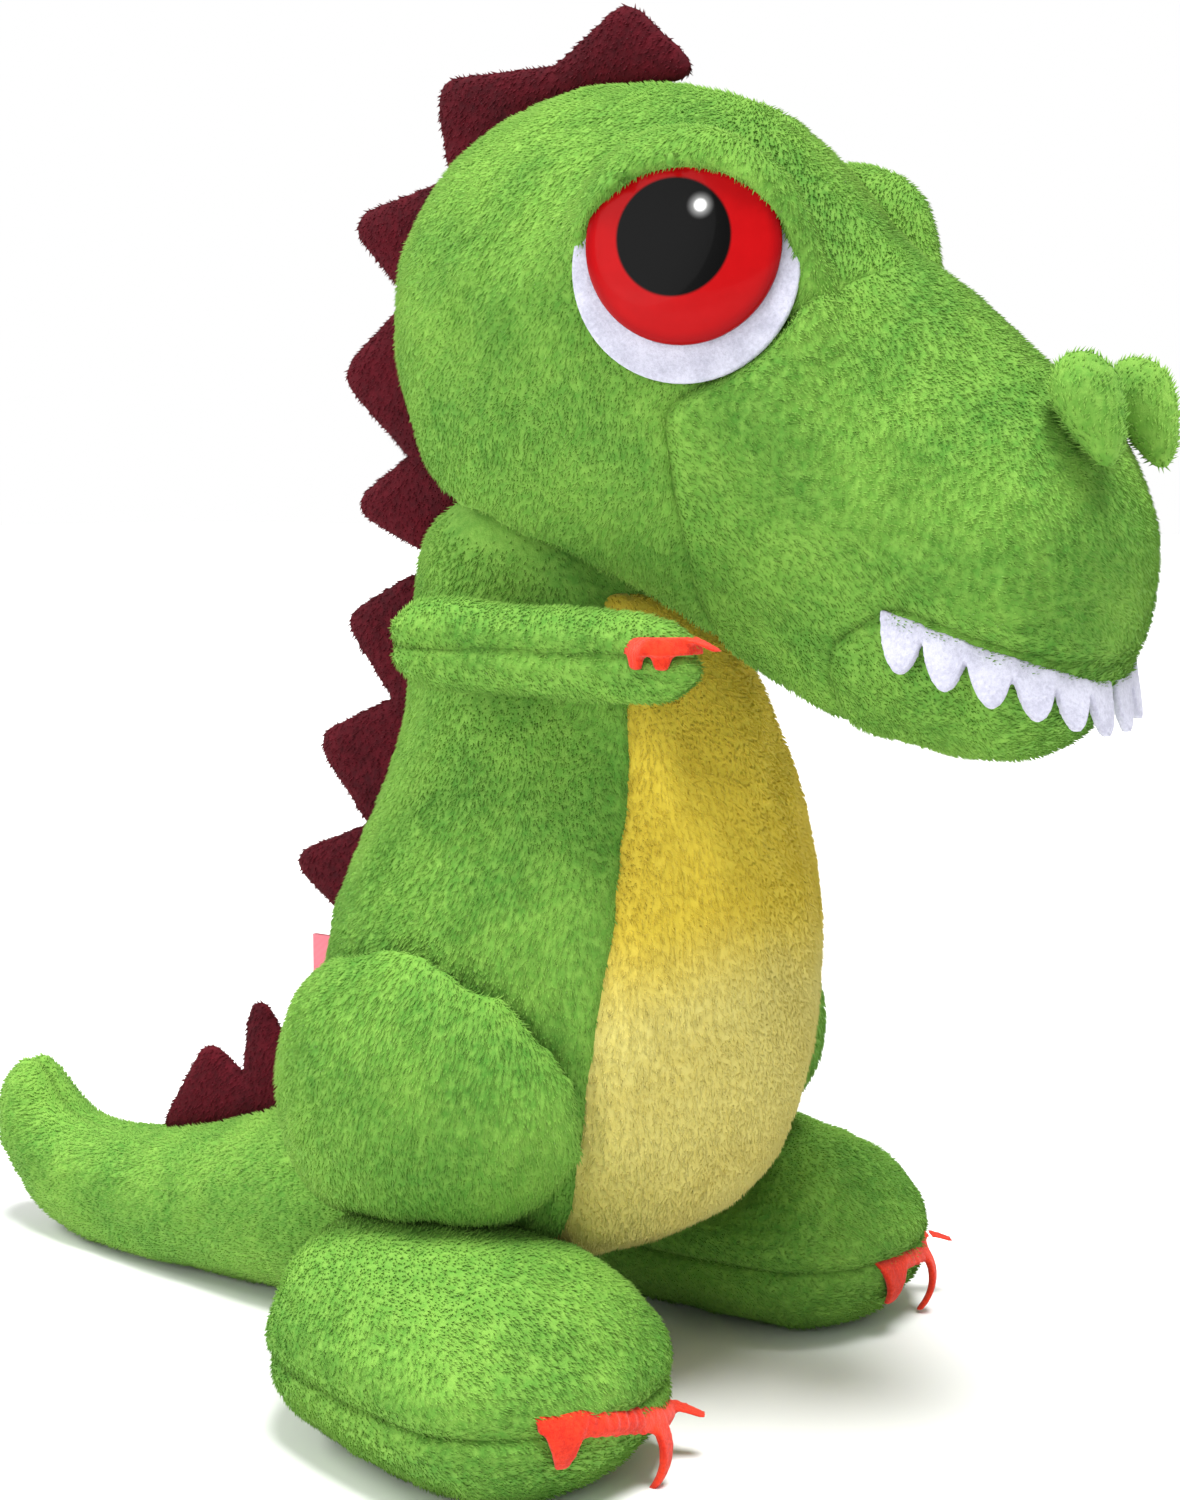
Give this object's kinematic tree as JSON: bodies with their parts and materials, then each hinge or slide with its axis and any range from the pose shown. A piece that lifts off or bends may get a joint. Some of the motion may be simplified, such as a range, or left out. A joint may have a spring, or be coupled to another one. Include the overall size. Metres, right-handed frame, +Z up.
{
  "type": "stuffed dinosaur",
  "caption": "Plush dinosaur that stands on two big feet and its tail: springy head, sleeve arms, felt claws and teeth, domed plastic eyes and a soft spiked crest.",
  "frame": {"origin": "middle of the footprint on the floor, under the toy", "axes": "the dinosaur faces -Y with its tail at +Y, +Z is up, its right side is at -X"},
  "size_m": [0.132, 0.2352, 0.2143],
  "materials": {
    "green_plush": "matte",
    "yellow_plush": "matte",
    "crest_plush": "matte",
    "white_felt": "matte",
    "orange_felt": "matte",
    "eye_plastic": "gloss",
    "washer_plastic": "satin",
    "fibre_fill": "matte",
    "pellet_cloth": "matte",
    "label_ribbon": "satin"
  },
  "bodies": {
    "body": {"flank_panel_right": "green_plush", "flank_panel_left": "green_plush", "belly_panel": "yellow_plush", "body_stuffing": "fibre_fill", "pellet_pouch": "pellet_cloth", "thigh_panel_right": "green_plush", "thigh_panel_left": "green_plush", "thigh_stuffing_right": "fibre_fill", "thigh_stuffing_left": "fibre_fill", "foot_upper_right": "green_plush", "foot_upper_left": "green_plush", "foot_sole_right": "green_plush", "foot_sole_left": "green_plush", "foot_stuffing_right": "fibre_fill", "foot_stuffing_left": "fibre_fill", "foot_claws_right": "orange_felt", "foot_claws_left": "orange_felt", "back_crest": "crest_plush", "sewn_label": "label_ribbon"},
    "head": {"skull_panel_right": "green_plush", "skull_panel_left": "green_plush", "muzzle_panel": "green_plush", "jaw_panel": "green_plush", "head_stuffing": "fibre_fill", "eye_white_right": "white_felt", "eye_white_left": "white_felt", "eye_disc_right": "eye_plastic", "eye_disc_left": "eye_plastic", "eye_washer_right": "washer_plastic", "eye_washer_left": "washer_plastic", "nostril_tuft_right": "green_plush", "nostril_tuft_left": "green_plush", "teeth_strip_right": "white_felt", "teeth_strip_left": "white_felt", "head_crest": "crest_plush"},
    "right_arm": {"sleeve_top_right": "green_plush", "sleeve_underside_right": "green_plush", "arm_stuffing_right": "fibre_fill", "hand_claws_right": "orange_felt"},
    "left_arm": {"sleeve_top_left": "green_plush", "sleeve_underside_left": "green_plush", "arm_stuffing_left": "fibre_fill", "hand_claws_left": "orange_felt"},
    "tail": {"tail_panel_right": "green_plush", "tail_panel_left": "green_plush", "tail_stuffing": "fibre_fill", "tail_crest": "crest_plush"}
  },
  "joints": [
    {"name": "head_nod", "type": "hinge", "parent": "body", "child": "head", "pos_m": [0, -0.0124, 0.134], "axis": [1, 0, 0], "range_deg": [-8, 9], "stiffness_Nm_per_rad": 2},
    {"name": "right_arm_swing", "type": "hinge", "parent": "body", "child": "right_arm", "pos_m": [-0.0315, -0.0134, 0.1185], "axis": [1, 0, 0], "range_deg": [-6, 32], "stiffness_Nm_per_rad": 0.05},
    {"name": "left_arm_swing", "type": "hinge", "parent": "body", "child": "left_arm", "pos_m": [0.0315, -0.0134, 0.1185], "axis": [1, 0, 0], "range_deg": [-6, 32], "stiffness_Nm_per_rad": 0.05},
    {"name": "tail_swing", "type": "hinge", "parent": "body", "child": "tail", "pos_m": [0, 0.0206, 0.02], "axis": [0, 0, 1], "range_deg": [-14, 14], "stiffness_Nm_per_rad": 0.5}
  ]
}
